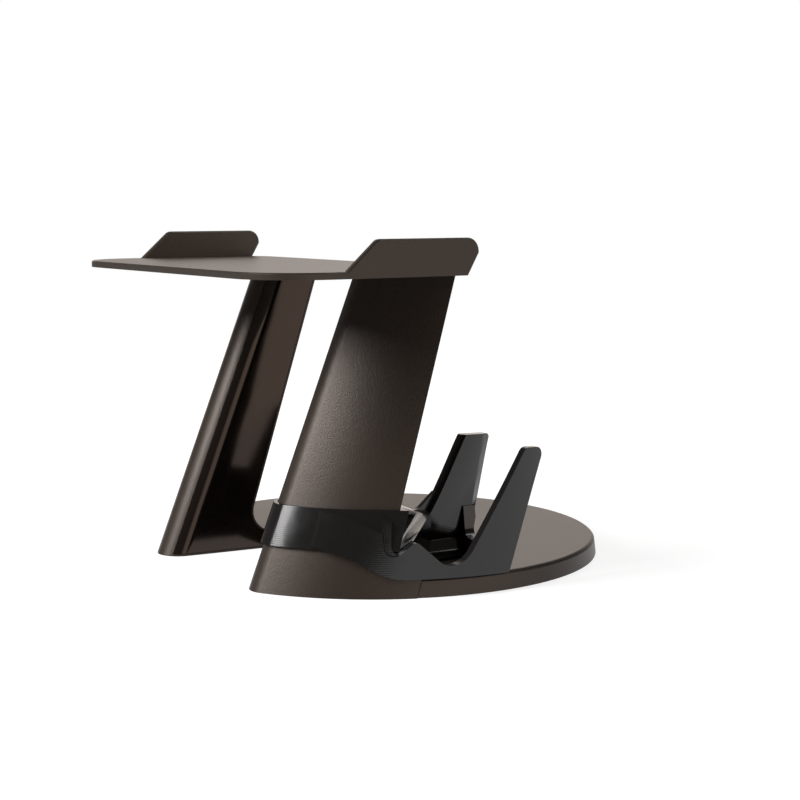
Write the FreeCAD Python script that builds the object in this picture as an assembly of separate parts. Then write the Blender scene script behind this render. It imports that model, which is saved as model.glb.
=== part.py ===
import FreeCAD, Part
import math
import os

V = FreeCAD.Vector

# Frame: X towards the side that carries the bracket, Y to the back, Z up.
# "f" is the distance forward of the disc centre, so Y is -f, and "n" is the distance to one side.

# round base, all sizes in mm
disc_r = 75.0
base_h = 6.0
plate_proud = 0.3
plate_back = 1.1
rim_draft = 0.7
rim_bevel = 0.8
seam_depth = 45.0

# legs: one leaning section each, whose outer face carries the round of the base upwards
leg_lean = 0.405
back_lean = 0.3305
leg_depth = 34.7
leg_h = 97.4
inner_n = 22.4
inner_flare = 0.106
nose_r = 7.8
foot_fillet = 7.0

# glossy panel let into the inner face of each leg, reaching a little way round its nose
panel_t = 3.0
panel_wrap = 5.0
panel_margin = 0.8
panel_gap = 0.15

# tray on top of the legs, placed from their back edge
tray_t = 2.1
tray_rear_over = 1.1
tray_len = 73.5
tray_half_w = 69.0
tray_front_r = 21.0
tray_rear_r = 12.0
tray_edge_bevel = 0.4

# side lips: heights above the tray's underside, lengths from the tray's rear edge
lip_t = 2.2
lip_h = 11.4
lip_bevel = 0.5
lip_front_low = 50.0
lip_front_high = 37.0
lip_rear_low = 4.2
lip_rear_high = 0.2
lip_rear_h = 6.8
lip_front_r = 3.0
lip_back_r = 4.2

# clip-on bracket: its band round the leg, heights above the foot
clip_gap = 0.2
band_t = 1.2
band_low = 8.3
band_high = 20.5
hook_len = 4.0
back_hook_len = 9.0

# bracket's front wall, and how far it stands off the leaning round at its top
wall_t = 2.6
wall_proud = 0.4
wall_from_deg = 33.0
wall_mid_deg = 58.0
wall_to_deg = 93.0
wall_mid_bulge = 5.0
wall_end_bulge = -4.2
bracket_h = 40.0

# bracket's rear wall and tall prong: the flat face lies this far in from the rim
rear_in = 31.0
rear_t = 3.8
prong_side = 0.7
prong_side_depth = 2.0

# Outlines of the bracket seen from the side. Each corner is its distance ahead of the
# leg's back line, its height above the base, and its corner radius.
front_wall = [
    (14.0, 9.3, 0), (10.3, 19.8, 0), (6.8, 19.0, 8.0), (-1.5, 14.2, 0.8),
    (-1.7, 4.2, 2.4), (-10.1, 11.6, 1.2), (-18.3, 3.4, 5.0), (-24.7, 4.6, 8.0),
    (-45.5, 38.4, 2.6), (-53.7, 38.0, 2.6), (-39.4, 0, 0), (-2.3, 0, 14.0), (6.7, 6.3, 20.0)]
rear_wall = [
    (-23.3, 0, 0), (-23.3, 16.0, 0), (-28.8, 14.8, 5.0), (-35.8, 20.5, 0),
    (-40.3, 20.5, 0), (-40.3, 0, 0)]
prong_limit = [
    (19.7, 0, 0), (19.7, 21.0, 0), (-35.8, 21.0, 0), (-45.6, 38.4, 2.4),
    (-58.4, 38.0, 2.4), (-49.4, 0, 0)]

# tall prong by height: left and right edge of its flat face, and its right bevel
prong_stages = [
    (0, -21.3, -46.6, 2.1), (10.0, -29.8, -48.4, 2.7), (18.0, -35.4, -49.8, 3.3),
    (28.0, -41.2, -51.6, 3.8), (38.5, -47.0, -53.4, 4.6)]

# saddle valley, as outlines at distances in from the rim
valley_rim = [
    (8.0, 44.0, 0), (8.0, 14.2, 0), (-1.4, 14.2, 0), (-2.0, 5.3, 2.0), (-10.1, 11.5, 0),
    (-35.0, 11.5, 0), (-35.0, 44.0, 0)]
valley_leg = [
    (8.0, 44.0, 0), (8.0, 20.4, 0), (-8.8, 20.4, 0), (-9.3, 9.5, 2.0), (-18.0, 12.4, 0),
    (-43.0, 12.4, 0), (-43.0, 44.0, 0)]
valley_face = [
    (-10.0, 44.0, 0), (-10.0, 18.0, 0), (-20.3, 18.0, 0), (-27.3, 14.8, 2.0), (-32.9, 14.5, 0),
    (-55.0, 14.5, 0), (-55.0, 44.0, 0)]
valley_end = [
    (-13.0, 44.0, 0), (-13.0, 17.5, 0), (-23.3, 17.5, 0), (-29.3, 15.5, 2.0), (-36.3, 15.2, 0),
    (-59.0, 15.2, 0), (-59.0, 44.0, 0)]
valley_stations = [
    (-6.0, valley_rim), (9.0, valley_rim), (16.0, valley_leg), (31.0, valley_face), (39.0, valley_end)]

# saddle block and end web in plan: distance ahead of the leg's back line, distance in from the rim
saddle_plan = [
    (-0.3, 10.0), (-0.3, -6.0), (-9.9, -6.0), (-9.9, 8.0), (-32.9, 31.0),
    (-29.3, 35.0), (-21.5, 35.0), (-5.5, 18.0)]
web_plan = [(-46.0, 32.0), (-33.0, -2.0), (-39.5, -2.0), (-50.5, 32.0)]

# what stays of the saddle block, seen from the side: its underside clears the foot's corner
saddle_side = [(9.0, 9.5, 0), (9.0, 20.5, 0), (-60.0, 20.5, 0), (-60.0, 0, 0), (-7.0, 0, 0)]

# end web's top and the slope under the flat face, seen from the front: distance in, height
web_top = [
    (33.0, 0, 0), (33.0, 15.0, 0), (30.5, 15.0, 0), (28.0, 5.6, 3.5), (18.0, 6.2, 8.0), (9.0, 10.5, 10.0),
    (-6.0, 20.0, 0), (-6.0, 0, 0)]
foot_slope = [(33.0, 0, 0), (33.0, 5.0, 0), (30.5, 5.0, 0), (27.5, 1.4, 4.0), (23.0, 0.9, 0), (23.0, 0, 0)]
slope_from = -25.0
slope_to = -47.5

leg_back_f = disc_r - leg_depth
seam_f = disc_r - seam_depth
rear_face_n = disc_r - rear_in
tray_rear_f = leg_back_f - back_lean * leg_h - tray_rear_over
beyond = 2 * disc_r


def unit(a):
    size = math.hypot(a[0], a[1])
    return (a[0] / size, a[1] / size)


def outline(corners, place):
    """Closed face from corner points (u, v, radius) laid out by place(u, v)."""
    joints = []
    count = len(corners)
    for i in range(count):
        u, v, r = corners[i]
        before = corners[i - 1]
        after = corners[(i + 1) % count]
        if r <= 0:
            joints.append([(u, v)])
            continue
        a = unit((before[0] - u, before[1] - v))
        b = unit((after[0] - u, after[1] - v))
        half = math.acos(a[0] * b[0] + a[1] * b[1]) / 2
        reach = r / math.tan(half)
        mid = unit((a[0] + b[0], a[1] + b[1]))
        depth = r / math.sin(half) - r
        joints.append([
            (u + a[0] * reach, v + a[1] * reach),
            (u + mid[0] * depth, v + mid[1] * depth),
            (u + b[0] * reach, v + b[1] * reach)])
    edges = []
    for i in range(count):
        here = [place(*p) for p in joints[i]]
        following = place(*joints[(i + 1) % count][0])
        if len(here) == 3:
            edges.append(Part.Arc(*here).toShape())
        edges.append(Part.makeLine(here[-1], following))
    return Part.Face(Part.Wire(edges))


def side(corners, n_from, n_to):
    """Solid with the given side outline of f and z, running across from n_from to n_to."""
    face = outline(corners, lambda f, z: V(n_from, -f, z))
    return face.extrude(V(n_to - n_from, 0, 0))


def bracket_side(corners, n_from, n_to):
    """The same for an outline kept ahead of the leg's back line and above the base."""
    return side([(leg_back_f + a, base_h + h, r) for a, h, r in corners], n_from, n_to)


def bracket_plan(corners):
    """Upright block of the bracket's full height on a plan outline."""
    face = outline(
        [(a, b, 0) for a, b in corners],
        lambda a, b: V(disc_r - b, -(leg_back_f + a), base_h))
    return face.extrude(V(0, 0, bracket_h))


def bracket_across(corners, a_from, a_to):
    """Solid with an outline seen from the front, running back from a_from to a_to."""
    face = outline(corners, lambda b, h: V(disc_r - b, -(leg_back_f + a_from), base_h + h))
    return face.extrude(V(0, a_from - a_to, 0))


line_dir = unit((1.0, inner_flare))
line_in = (-line_dir[1], line_dir[0])


def on_line(f, depth):
    """Point on the inner face's floor line at f, moved depth into the leg."""
    n = inner_n + inner_flare * (f - leg_back_f)
    return (f + line_in[0] * depth, n + line_in[1] * depth)


def nose_centre():
    start = on_line(leg_back_f, nose_r)
    b = start[0] * line_dir[0] + start[1] * line_dir[1]
    c = start[0] ** 2 + start[1] ** 2 - (disc_r - nose_r) ** 2
    t = -b + math.sqrt(b * b - c)
    return (start[0] + t * line_dir[0], start[1] + t * line_dir[1])


nose = nose_centre()
nose_tangent_f = nose[0] - nose_r * line_in[0]


def lean_section(grow):
    """Floor section of one leg, every face moved out by grow."""
    r = disc_r + grow
    small = nose_r + grow
    inner_start = on_line(0, -grow)
    inner_end = (nose[0] - small * line_in[0], nose[1] - small * line_in[1])
    away = unit(nose)
    outer_start = (away[0] * r, away[1] * r)
    turn = unit((away[0] - line_in[0], away[1] - line_in[1]))
    nose_mid = (nose[0] + small * turn[0], nose[1] + small * turn[1])
    outer_end = (inner_start[0], math.sqrt(r * r - inner_start[0] ** 2))
    half_way = unit((outer_start[0] + outer_end[0], outer_start[1] + outer_end[1]))
    outer_mid = (half_way[0] * r, half_way[1] * r)

    def at(p):
        return V(p[1], -p[0], 0)

    edges = [
        Part.makeLine(at(inner_start), at(inner_end)),
        Part.Arc(at(inner_end), at(nose_mid), at(outer_start)).toShape(),
        Part.Arc(at(outer_start), at(outer_mid), at(outer_end)).toShape(),
        Part.makeLine(at(outer_end), at(inner_start))]
    return Part.Face(Part.Wire(edges))


def leaning(face, z_from, z_to):
    """Push a floor section up along the leg's lean between two heights."""
    base = face.copy()
    base.translate(V(0, leg_lean * z_from, z_from))
    rise = z_to - z_from
    return base.extrude(V(0, leg_lean * rise, rise))


def leg_side(grow, low, high):
    """Side outline of leg and foot, its back and foot top moved out by grow."""
    shift = grow * math.sqrt(1 + back_lean ** 2)

    def back_f(z):
        return leg_back_f - shift - back_lean * z

    def seam(z):
        return seam_f - shift - back_lean * z

    top = base_h + grow
    return [
        (beyond, low, 0), (seam(low), low, 0), (seam(top), top, 0),
        (back_f(top), top, foot_fillet - grow), (back_f(high), high, 0),
        (beyond, high, 0)]


def leg_body(grow, low, high):
    column = leaning(lean_section(grow), low, high)
    return column.common(side(leg_side(grow, low, high), 0, beyond))


def panel(gap):
    """Flat panel set into the inner face, gap wider all round for its recess."""
    inset = panel_margin - gap
    end_f = nose_tangent_f + panel_wrap + gap
    corners = [on_line(0, 0), on_line(end_f, 0), on_line(end_f, panel_t), on_line(0, panel_t)]
    face = outline([(f, n, 0) for f, n in corners], lambda f, n: V(n, -f, 0))
    strip = leaning(face, 0, leg_h).common(leaning(lean_section(0), 0, leg_h))
    trim = leg_side(-inset, inset, leg_h - inset)
    return strip.common(side(trim, 0, beyond))


def tray():
    rear = tray_rear_f
    front = rear + tray_len
    w = tray_half_w
    corners = [
        (front, -w, tray_front_r), (front, w, tray_front_r),
        (rear, w, tray_rear_r), (rear, -w, tray_rear_r)]
    face = outline(corners, lambda f, n: V(n, -f, leg_h))
    plate = face.extrude(V(0, 0, tray_t))
    rims = [e for e in plate.Edges if e.BoundBox.ZMin > leg_h + tray_t / 2]
    plate = plate.makeChamfer(tray_edge_bevel, rims)
    top = leg_h + lip_h
    lip_side = [
        (rear + lip_front_low, leg_h, 0), (rear + lip_front_high, top, lip_front_r),
        (rear + lip_rear_high, top, lip_back_r), (rear + lip_rear_high, leg_h + lip_rear_h, 0),
        (rear + lip_rear_low, leg_h, 0)]
    lip = side(lip_side, w - lip_t, w)
    rims = [e for e in lip.Edges
            if e.BoundBox.XLength < lip_t / 2 and e.BoundBox.ZMax > leg_h + tray_t]
    lip = lip.makeChamfer(lip_bevel, rims)
    other = lip.mirror(V(0, 0, 0), V(1, 0, 0))
    return plate.fuse([lip, other]).removeSplitter()


def wall_arc(z, inset):
    """Three points of the front wall's outer arc at height z, moved in by inset."""
    share = (z - base_h) / bracket_h
    r = disc_r + clip_gap + band_t + wall_proud - inset
    points = []
    for deg, bulge in ((wall_from_deg, 0), (wall_mid_deg, wall_mid_bulge), (wall_to_deg, wall_end_bulge)):
        a = math.radians(deg)
        reach = r + bulge * share
        points.append(V(reach * math.sin(a), leg_lean * z - reach * math.cos(a), z))
    return points


def wall_strip(z):
    outer = wall_arc(z, 0)
    inner = wall_arc(z, wall_t)
    return Part.Wire([
        Part.Arc(*outer).toShape(), Part.makeLine(outer[2], inner[2]),
        Part.Arc(*reversed(inner)).toShape(), Part.makeLine(inner[0], outer[0])])


def wall_inside(z):
    """Everything inside the middle of the front wall at height z."""
    arc = wall_arc(z, wall_t / 2)
    centre = V(0, leg_lean * z, z)
    return Part.Wire([
        Part.Arc(*arc).toShape(), Part.makeLine(arc[2], centre), Part.makeLine(centre, arc[0])])


def prong_section(h, left, right, right_bevel):
    """Six-sided plan section of the tall prong at a height above the base."""
    left_f = leg_back_f + left
    right_f = leg_back_f + right
    back_n = rear_face_n - rear_t
    side_n = rear_face_n - prong_side_depth
    corners = [
        (left_f + prong_side, back_n), (left_f + prong_side, side_n),
        (left_f, rear_face_n), (right_f, rear_face_n),
        (right_f - right_bevel, side_n), (right_f - right_bevel, back_n)]
    points = [V(n, -f, base_h + h) for f, n in corners]
    return Part.makePolygon(points + points[:1])


def band():
    """Strip hugging the leg, hooked round its nose and round its back edge."""
    low = base_h + band_low
    high = base_h + band_high
    strip = leg_body(clip_gap + band_t, low, high)
    corner_n = math.sqrt(disc_r ** 2 - leg_back_f ** 2)
    hook_f = nose_tangent_f - hook_len
    hook_n = corner_n - back_hook_len
    turn_n = inner_n + 2 * hook_len
    gone = outline(
        [(0, 0, 0), (hook_f, 0, 0), (hook_f, turn_n, 0), (leg_back_f, hook_n, 0), (0, hook_n, 0)],
        lambda f, n: V(n, -f, 0))
    return strip.cut(leaning(gone, low, high))


def bracket():
    top = base_h + bracket_h
    wall = Part.makeLoft([wall_strip(base_h), wall_strip(top)], True, True)
    wall = wall.common(bracket_side(front_wall, 0, beyond))
    inside = Part.makeLoft([wall_inside(base_h), wall_inside(top)], True, True)

    back = bracket_side(rear_wall, rear_face_n - rear_t, rear_face_n - prong_side_depth)
    prong = Part.makeLoft([prong_section(*stage) for stage in prong_stages], True, False)
    prong = prong.common(bracket_side(prong_limit, 0, beyond))

    stations = []
    for inward, corners in valley_stations:
        stations.append(outline(
            [(leg_back_f + a, base_h + h, r) for a, h, r in corners],
            lambda f, z: V(disc_r - inward, -f, z)).OuterWire)
    valley = Part.makeLoft(stations, True, True)
    saddle = bracket_plan(saddle_plan).common(bracket_side(saddle_side, 0, beyond))
    saddle = saddle.common(inside).cut(valley)

    web = bracket_plan(web_plan).common(bracket_across(web_top, beyond, -beyond))
    web = web.common(inside)
    slope = bracket_across(foot_slope, slope_from, slope_to)

    body = band().fuse([wall, back, prong, saddle, web, slope])
    body = body.cut(leg_body(clip_gap, 0, top))
    return body.removeSplitter()


def base_plate():
    r = disc_r + plate_proud
    disc = Part.makeCone(r, r - rim_draft, base_h, V(0, plate_back, 0))
    rims = [e for e in disc.Edges if e.BoundBox.ZMin > base_h / 2]
    disc = disc.makeChamfer(rim_bevel, rims)
    keep = [
        (seam_f, 0, 0), (seam_f - back_lean * base_h, base_h, 0),
        (-beyond, base_h, 0), (-beyond, 0, 0)]
    return disc.common(side(keep, -beyond, beyond))


os.makedirs("parts", exist_ok=True)
leg = leg_body(0, 0, leg_h).cut(panel(panel_gap))
liner = panel(0)
across = (V(0, 0, 0), V(1, 0, 0))
shapes = {
    "base_plate": base_plate(),
    "right_leg": leg,
    "left_leg": leg.mirror(*across),
    "right_inner_panel": liner,
    "left_inner_panel": liner.mirror(*across),
    "headset_tray": tray(),
    "controller_bracket": bracket(),
}
for name, shape in shapes.items():
    print(name, len(shape.Solids), shape.isValid(), round(shape.Volume, 1))
    shape.exportStep("parts/" + name + ".step")
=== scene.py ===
import math

import bmesh
import bpy
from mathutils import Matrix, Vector


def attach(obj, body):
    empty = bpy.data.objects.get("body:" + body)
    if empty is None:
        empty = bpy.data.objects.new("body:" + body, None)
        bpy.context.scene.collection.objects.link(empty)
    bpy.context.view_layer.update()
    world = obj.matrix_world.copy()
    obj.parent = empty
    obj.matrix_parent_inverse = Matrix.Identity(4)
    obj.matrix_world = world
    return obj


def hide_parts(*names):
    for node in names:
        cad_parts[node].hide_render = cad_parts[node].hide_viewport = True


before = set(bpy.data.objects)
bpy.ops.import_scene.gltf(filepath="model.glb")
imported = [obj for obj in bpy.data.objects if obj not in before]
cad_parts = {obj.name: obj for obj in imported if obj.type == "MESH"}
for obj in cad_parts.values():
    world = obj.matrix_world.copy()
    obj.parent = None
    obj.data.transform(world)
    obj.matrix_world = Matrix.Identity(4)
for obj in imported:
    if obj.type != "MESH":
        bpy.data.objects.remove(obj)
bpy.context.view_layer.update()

bl_info = {
    "name": "Headset Stand",
    "version": (1, 0, 0),
    "blender": (4, 5, 0),
    "location": "3D View > Sidebar > Headset Stand",
    "description": "Dresses a headset stand with its mouldings, finishes and studio",
    "category": "Object",
}

MM = 0.001

# sizes of the slow changes of tone and gloss over the plastics
TONE_PATCH = 45 * MM
HAZE_PATCH = 9 * MM
WANDER_PATCH = 6 * MM

# lowest and highest roughness of each finish
GRAINED_ROUGHNESS = (0.34, 0.46)
POLISHED_ROUGHNESS = (0.06, 0.13)
LAYERED_ROUGHNESS = (0.1, 0.2)

# an edge that turns more than this is a real one and is softened; less is one smooth surface
CREASE = math.radians(28)
FLAT = math.radians(0.4)
MERGE_GAP = 0.002 * MM

# where the camera stood, and the level part of the way that it looks
CAMERA_PLACE = (0.4702, -0.3089, 0.1203)
CAMERA_HEADING = (-0.8273, 0.5618)
CAMERA_PITCH = math.radians(6.95)
LENS_MM = 74.15
SENSOR_MM = 36.0

# the lamps point at the middle of the stand
STAND_MIDDLE = (0.0, -0.02, 0.05)

# directions from the stand: the white sweep is beyond it in the camera's view, and the window is
# level with it on the bracket's side
SWEEP_SIDE = (-0.83, 0.56, 0.1)
WINDOW_SIDE = (0.98, 0.2, 0.0)

# levels of the room: its dark walls, its sweep, its window, and how much of it lights matte faces
WALL_LEVEL = 0.12
SWEEP_LEVEL = 1.15
WINDOW_LEVEL = 1.4
MATTE_SHARE = 0.25

# what brings the grey paper up to white where it is seen, with the lamps' light on top
PAPER_LIFT = 0.82


def linear(hex_colour):
    """sRGB hex such as 1c1b1a as linear red, green, blue, alpha."""
    channels = [int(hex_colour[i:i + 2], 16) / 255 for i in (0, 2, 4)]
    light = [c / 12.92 if c <= 0.04045 else ((c + 0.055) / 1.055) ** 2.4 for c in channels]
    return (*light, 1.0)


def mm_size(name, default, description):
    """A length in metres, whose default is given in millimetres."""
    return bpy.props.FloatProperty(
        name=name, description=description, default=default * MM,
        min=0.0, unit="LENGTH", precision=5)


def plastic_colour(name, hex_colour, description):
    return bpy.props.FloatVectorProperty(
        name=name, description=description, default=linear(hex_colour),
        size=4, min=0.0, max=1.0, subtype="COLOR")


class StandSizes(bpy.types.PropertyGroup):
    moulding_edge: mm_size(
        "Moulding edge", 0.35, "Rounding of the outer edges of the leg and base mouldings")
    tray_edge: mm_size("Tray edge", 0.25, "Rounding left on the tray's thin edges")
    panel_edge: mm_size("Panel edge", 0.2, "Rounding of the polished panels' edges")
    bracket_edge: mm_size("Bracket edge", 0.45, "Rounding of the clip-on bracket's edges")
    grain: mm_size("Grain", 0.5, "Size of the moulded grain on the matte plastic")
    layer: mm_size("Layer", 0.55, "Height of one drawn layer line on the bracket")
    ripple: mm_size("Ripple", 28.0, "Length of the slow waves in the polished panels")
    floor_span: mm_size("Floor", 1600.0, "Width of the studio floor")


class StandColours(bpy.types.PropertyGroup):
    grained: plastic_colour("Grained plastic", "2a231e", "Matte black ABS of base, legs and tray")
    polished: plastic_colour("Polished plastic", "1a1614", "Gloss black ABS of the inner panels")
    layered: plastic_colour("Bracket plastic", "1b1a1a", "Gloss black plastic of the bracket")
    floor: plastic_colour("Floor", "a4a4a4", "Paper of the studio floor, before it is lifted to white")
    background: plastic_colour("Background", "ffffff", "Studio background")
    room: plastic_colour("Room", "fbefe6", "Warm white of the room that the plastics mirror")


def sizes():
    return bpy.context.scene.stand_sizes


def colours():
    return bpy.context.scene.stand_colours


def node(tree, kind, settings=None, **links):
    """Adds a node of this kind; a link is input_name=(node, output) or a plain value."""
    made = tree.nodes.new(kind)
    for key, value in (settings or {}).items():
        setattr(made, key, value)
    for key, value in links.items():
        socket = made.inputs[int(key[1:])] if key[0] == "i" and key[1:].isdigit() \
            else made.inputs[key.replace("_", " ")]
        if isinstance(value, tuple) and isinstance(value[0], bpy.types.Node):
            tree.links.new(value[0].outputs[value[1]], socket)
        else:
            socket.default_value = value
    return made


def new_material(name):
    material = bpy.data.materials.get(name)
    if material:
        return material, None
    material = bpy.data.materials.new(name)
    material.use_nodes = True
    material.node_tree.nodes.clear()
    return material, material.node_tree


def moulded_abs():
    """Injection moulded black ABS from a spark-eroded tool.

    The tool's fine grain gives a dull brown-grey sheen that grows at grazing angles.
    """
    material, tree = new_material("Grained black ABS")
    if tree is None:
        return material
    place = node(tree, "ShaderNodeTexCoord")
    # the real grain is 0.1 to 0.2 mm; drawn coarser so that it shows
    grain = node(tree, "ShaderNodeTexNoise", Vector=(place, "Object"),
                 Scale=1 / sizes().grain, Detail=3.0, Roughness=0.6)
    cloud = node(tree, "ShaderNodeTexNoise", Vector=(place, "Object"),
                 Scale=1 / TONE_PATCH, Detail=2.0)
    red, green, blue, _ = colours().grained
    darker = (red * 0.9, green * 0.9, blue * 0.9, 1)
    warmer = (red * 1.15, green * 1.12, blue * 1.1, 1)
    tone = node(tree, "ShaderNodeMix", {"data_type": "RGBA"},
                Factor=(cloud, "Fac"), i6=darker, i7=warmer)
    low, high = GRAINED_ROUGHNESS
    sheen = node(tree, "ShaderNodeMapRange", Value=(grain, "Fac"), To_Min=low, To_Max=high)
    bump = node(tree, "ShaderNodeBump", Height=(grain, "Fac"),
                Strength=0.6, Distance=0.1 * MM)
    shader = node(tree, "ShaderNodeBsdfPrincipled", Base_Color=(tone, 2),
                  Roughness=(sheen, "Result"), IOR=1.54, Normal=(bump, "Normal"),
                  Specular_Tint=linear("fff0e6"))
    node(tree, "ShaderNodeOutputMaterial", Surface=(shader, "BSDF"))
    return material


def polished_abs():
    """Black ABS from a mirror-polished tool: sharp reflections, slow waves from shrinkage."""
    material, tree = new_material("Polished black ABS")
    if tree is None:
        return material
    place = node(tree, "ShaderNodeTexCoord")
    wave = node(tree, "ShaderNodeTexNoise", Vector=(place, "Object"),
                Scale=1 / sizes().ripple, Detail=1.0)
    haze = node(tree, "ShaderNodeTexNoise", Vector=(place, "Object"),
                Scale=1 / HAZE_PATCH, Detail=4.0)
    low, high = POLISHED_ROUGHNESS
    gloss = node(tree, "ShaderNodeMapRange", Value=(haze, "Fac"), To_Min=low, To_Max=high)
    bump = node(tree, "ShaderNodeBump", Height=(wave, "Fac"), Strength=0.5, Distance=0.5 * MM)
    shader = node(tree, "ShaderNodeBsdfPrincipled", Base_Color=tuple(colours().polished),
                  Roughness=(gloss, "Result"), IOR=1.5, Normal=(bump, "Normal"),
                  Specular_Tint=linear("ffe6d8"))
    node(tree, "ShaderNodeOutputMaterial", Surface=(shader, "BSDF"))
    return material


def layered_plastic():
    """Black plastic built up in level layers: glossy, with a fine comb of lines round it."""
    material, tree = new_material("Layered gloss black plastic")
    if tree is None:
        return material
    place = node(tree, "ShaderNodeTexCoord")
    # one band of the wave is one layer; drawn about twice the real 0.2 to 0.3 mm to show
    lines = node(tree, "ShaderNodeTexWave", {"bands_direction": "Z"},
                 Vector=(place, "Object"), Scale=math.pi / 10 / sizes().layer,
                 Distortion=0.15, Detail=1.0)
    wander = node(tree, "ShaderNodeTexNoise", Vector=(place, "Object"),
                  Scale=1 / WANDER_PATCH, Detail=2.0)
    low, high = LAYERED_ROUGHNESS
    gloss = node(tree, "ShaderNodeMapRange", Value=(wander, "Fac"), To_Min=low, To_Max=high)
    height = node(tree, "ShaderNodeMath", {"operation": "MULTIPLY_ADD"},
                  i0=(wander, "Fac"), i1=0.5, i2=(lines, "Fac"))
    bump = node(tree, "ShaderNodeBump", Height=(height, "Value"),
                Strength=0.08, Distance=0.05 * MM)
    shader = node(tree, "ShaderNodeBsdfPrincipled", Base_Color=tuple(colours().layered),
                  Roughness=(gloss, "Result"), IOR=1.5, Normal=(bump, "Normal"))
    node(tree, "ShaderNodeOutputMaterial", Surface=(shader, "BSDF"))
    return material


def dressed_copy(cad_name, piece_name, material, edge):
    """Merged copy of a CAD node with smooth faces and softened edges, standing for it."""
    form = bmesh.new()
    form.from_mesh(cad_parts[cad_name].data)
    bmesh.ops.remove_doubles(form, verts=form.verts, dist=MERGE_GAP)
    bmesh.ops.dissolve_limit(
        form, angle_limit=FLAT, verts=form.verts, edges=form.edges, delimit=set())
    for face in form.faces:
        face.smooth = True
    for rim in form.edges:
        rim.smooth = len(rim.link_faces) == 2 and rim.calc_face_angle(0) < CREASE
    mesh = bpy.data.meshes.new(piece_name)
    form.to_mesh(mesh)
    form.free()
    mesh.materials.append(material)
    piece = bpy.data.objects.new(piece_name, mesh)
    bpy.context.scene.collection.objects.link(piece)
    if edge > 0:
        soften = piece.modifiers.new("Soft edges", "BEVEL")
        soften.width = edge
        soften.segments = 2
        soften.limit_method = "ANGLE"
        soften.angle_limit = CREASE
        soften.harden_normals = True
    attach(piece, "root")
    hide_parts(cad_name)
    return piece


class STAND_OT_base_plate(bpy.types.Operator):
    """Round base plate with its drafted rim"""
    bl_idname = "stand.base_plate"
    bl_label = "Base plate"

    def execute(self, context):
        dressed_copy("base_plate", "base_plate_moulding", moulded_abs(),
                     sizes().moulding_edge)
        return {"FINISHED"}


class STAND_OT_legs(bpy.types.Operator):
    """Both leaning legs with their feet"""
    bl_idname = "stand.legs"
    bl_label = "Legs"

    def execute(self, context):
        for side in ("right", "left"):
            dressed_copy(side + "_leg", side + "_leg_moulding", moulded_abs(),
                         sizes().moulding_edge)
        return {"FINISHED"}


class STAND_OT_inner_panels(bpy.types.Operator):
    """Polished panels let into the legs' inner faces"""
    bl_idname = "stand.inner_panels"
    bl_label = "Inner panels"

    def execute(self, context):
        for side in ("right", "left"):
            dressed_copy(side + "_inner_panel", side + "_polished_panel", polished_abs(),
                         sizes().panel_edge)
        return {"FINISHED"}


class STAND_OT_headset_tray(bpy.types.Operator):
    """Tray with a lip at each side"""
    bl_idname = "stand.headset_tray"
    bl_label = "Headset tray"

    def execute(self, context):
        dressed_copy("headset_tray", "headset_tray_moulding", moulded_abs(),
                     sizes().tray_edge)
        return {"FINISHED"}


class STAND_OT_controller_bracket(bpy.types.Operator):
    """Clip-on cradle with its two prongs"""
    bl_idname = "stand.controller_bracket"
    bl_label = "Controller bracket"

    def execute(self, context):
        dressed_copy("controller_bracket", "controller_bracket_clip", layered_plastic(),
                     sizes().bracket_edge)
        return {"FINISHED"}


def look_along(thing, direction):
    thing.rotation_euler = direction.to_track_quat("-Z", "Y").to_euler()


def soft_light(name, place, width, height, power):
    """A rectangular lamp, sized in metres, that points at the middle of the stand."""
    lamp = bpy.data.lights.new(name, "AREA")
    lamp.shape = "RECTANGLE"
    lamp.size = width
    lamp.size_y = height
    lamp.energy = power
    thing = bpy.data.objects.new(name, lamp)
    thing.location = place
    look_along(thing, Vector(STAND_MIDDLE) - thing.location)
    bpy.context.scene.collection.objects.link(thing)


def strongest(tree, *sockets):
    """The largest of several outputs, as the Value of a node."""
    best = sockets[0]
    made = None
    for other in sockets[1:]:
        made = node(tree, "ShaderNodeMath", {"operation": "MAXIMUM"}, i0=best, i1=other)
        best = (made, "Value")
    return made


def floor_material():
    """White background paper that stays white to the camera and still takes a shadow."""
    material, tree = new_material("White paper floor")
    if tree is None:
        return material
    path = node(tree, "ShaderNodeLightPath")
    seen = strongest(tree, (path, "Is Camera Ray"), (path, "Is Glossy Ray"),
                     (path, "Is Transmission Ray"))
    lift = node(tree, "ShaderNodeMath", {"operation": "MULTIPLY"},
                i0=(seen, "Value"), i1=PAPER_LIFT)
    paper = node(tree, "ShaderNodeBsdfDiffuse", Color=tuple(colours().floor))
    glow = node(tree, "ShaderNodeEmission", Color=tuple(colours().background),
                Strength=(lift, "Value"))
    both = node(tree, "ShaderNodeAddShader", i0=(paper, "BSDF"), i1=(glow, "Emission"))
    node(tree, "ShaderNodeOutputMaterial", Surface=(both, "Shader"))
    return material


def facing(tree, place, axis, dark_at, bright_at, low, high):
    """How far a direction points along an axis, spread between two levels."""
    along = node(tree, "ShaderNodeVectorMath", {"operation": "DOT_PRODUCT"},
                 i0=(place, "Generated"), i1=Vector(axis).normalized())
    return node(tree, "ShaderNodeMapRange", {"interpolation_type": "SMOOTHSTEP"},
                Value=(along, "Value"), From_Min=dark_at, From_Max=bright_at,
                To_Min=low, To_Max=high)


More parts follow.
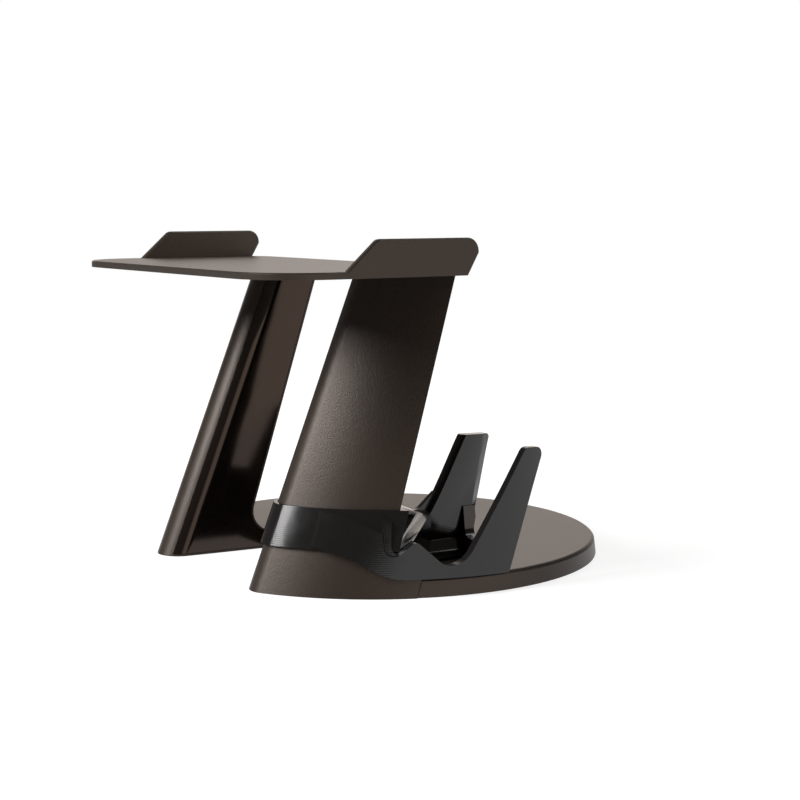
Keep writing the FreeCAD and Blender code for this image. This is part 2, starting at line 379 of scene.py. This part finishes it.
def studio_world():
    """White to the camera; what the object mirrors is a dim room with a sweep and a window."""
    world = bpy.data.worlds.new("White studio")
    world.use_nodes = True
    tree = world.node_tree
    tree.nodes.clear()
    place = node(tree, "ShaderNodeTexCoord")
    path = node(tree, "ShaderNodeLightPath")
    sweep = facing(tree, place, SWEEP_SIDE, 0.78, 0.96, WALL_LEVEL, SWEEP_LEVEL)
    window = facing(tree, place, WINDOW_SIDE, 0.72, 0.86, WALL_LEVEL, WINDOW_LEVEL)
    room = strongest(tree, (sweep, "Result"), (window, "Result"))
    dim = node(tree, "ShaderNodeMapRange", Value=(path, "Is Glossy Ray"),
               To_Min=MATTE_SHARE, To_Max=1.0)
    room = node(tree, "ShaderNodeMath", {"operation": "MULTIPLY"},
                i0=(room, "Value"), i1=(dim, "Result"))
    seen = strongest(tree, (path, "Is Camera Ray"), (path, "Is Transmission Ray"))
    level = strongest(tree, (room, "Value"), (seen, "Value"))
    tint = node(tree, "ShaderNodeMix", {"data_type": "RGBA"}, Factor=(seen, "Value"),
                i6=tuple(colours().room), i7=tuple(colours().background))
    sky = node(tree, "ShaderNodeBackground", Color=(tint, 2), Strength=(level, "Value"))
    node(tree, "ShaderNodeOutputWorld", Surface=(sky, "Background"))
    return world


class STAND_OT_studio(bpy.types.Operator):
    """Pale floor, soft lights, white background and the camera"""
    bl_idname = "stand.studio"
    bl_label = "Studio"

    def execute(self, context):
        scene = context.scene
        sheet = bmesh.new()
        bmesh.ops.create_grid(sheet, x_segments=1, y_segments=1, size=sizes().floor_span / 2)
        mesh = bpy.data.meshes.new("studio_floor")
        sheet.to_mesh(mesh)
        sheet.free()
        mesh.materials.append(floor_material())
        floor = bpy.data.objects.new("studio_floor", mesh)
        scene.collection.objects.link(floor)

        soft_light("front_softbox", place=(-0.23, -1.17, 0.93), width=0.6, height=0.95, power=24)
        soft_light("overhead_softbox", place=(-0.5, 0.6, 1.1), width=1.0, height=1.0, power=5.5)
        scene.world = studio_world()

        lens = bpy.data.cameras.new("photo_camera")
        lens.sensor_width = SENSOR_MM
        lens.lens = LENS_MM
        lens.clip_start = 0.01
        camera = bpy.data.objects.new("photo_camera", lens)
        camera.location = CAMERA_PLACE
        level_part = math.cos(CAMERA_PITCH)
        look_along(camera, Vector((CAMERA_HEADING[0] * level_part, CAMERA_HEADING[1] * level_part,
                                   -math.sin(CAMERA_PITCH))))
        scene.collection.objects.link(camera)
        scene.camera = camera
        scene.view_settings.view_transform = "Standard"
        return {"FINISHED"}


class STAND_PT_panel(bpy.types.Panel):
    """Lists the stand's pieces, sizes and colours"""
    bl_idname = "STAND_PT_panel"
    bl_label = "Headset Stand"
    bl_space_type = "VIEW_3D"
    bl_region_type = "UI"
    bl_category = "Headset Stand"

    def draw(self, context):
        layout = self.layout
        for step in STEPS:
            layout.operator(step.bl_idname)
        for group in (context.scene.stand_sizes, context.scene.stand_colours):
            for field in group.bl_rna.properties:
                if field.identifier not in ("rna_type", "name"):
                    layout.prop(group, field.identifier)


STEPS = (
    STAND_OT_studio,
    STAND_OT_base_plate,
    STAND_OT_legs,
    STAND_OT_inner_panels,
    STAND_OT_headset_tray,
    STAND_OT_controller_bracket,
)
CLASSES = (StandSizes, StandColours, *STEPS, STAND_PT_panel)


def register():
    for item in CLASSES:
        bpy.utils.register_class(item)
    bpy.types.Scene.stand_sizes = bpy.props.PointerProperty(type=StandSizes)
    bpy.types.Scene.stand_colours = bpy.props.PointerProperty(type=StandColours)


def unregister():
    del bpy.types.Scene.stand_colours
    del bpy.types.Scene.stand_sizes
    for item in reversed(CLASSES):
        bpy.utils.unregister_class(item)


def main():
    register()
    bpy.ops.stand.studio()
    bpy.ops.stand.base_plate()
    bpy.ops.stand.legs()
    bpy.ops.stand.inner_panels()
    bpy.ops.stand.headset_tray()
    bpy.ops.stand.controller_bracket()


if __name__ == "__main__":
    main()
